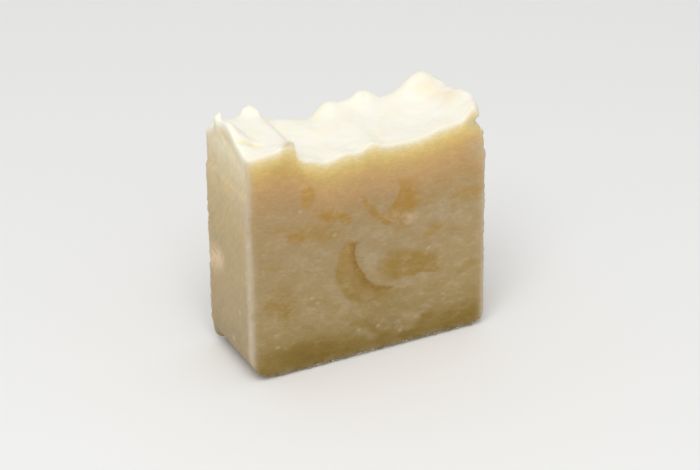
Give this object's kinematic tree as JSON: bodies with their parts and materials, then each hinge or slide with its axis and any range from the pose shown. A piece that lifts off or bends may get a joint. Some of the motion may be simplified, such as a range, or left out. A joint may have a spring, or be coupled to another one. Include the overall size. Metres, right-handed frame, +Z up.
{
  "type": "shampoo bar",
  "caption": "Slice of hand-made shampoo soap: upright block with rounded lower corners, two flat cut faces and a spooned, swirled crown with a dollop and a small curl.",
  "frame": {"origin": "middle of the flat base, where the bar stands", "axes": "+Z up; X across the loaf, between the two moulded walls; Y through the thickness of the slice, with the front cut face at -Y"},
  "size_m": [0.065, 0.0244, 0.0669],
  "materials": {
    "soap": "cold-process soap, tan and faintly marbled where cut, creamy white on the crown, matt with a soft waxy sheen"
  },
  "bodies": {
    "root": {"shampoo_bar": "soap"}
  },
  "joints": []
}
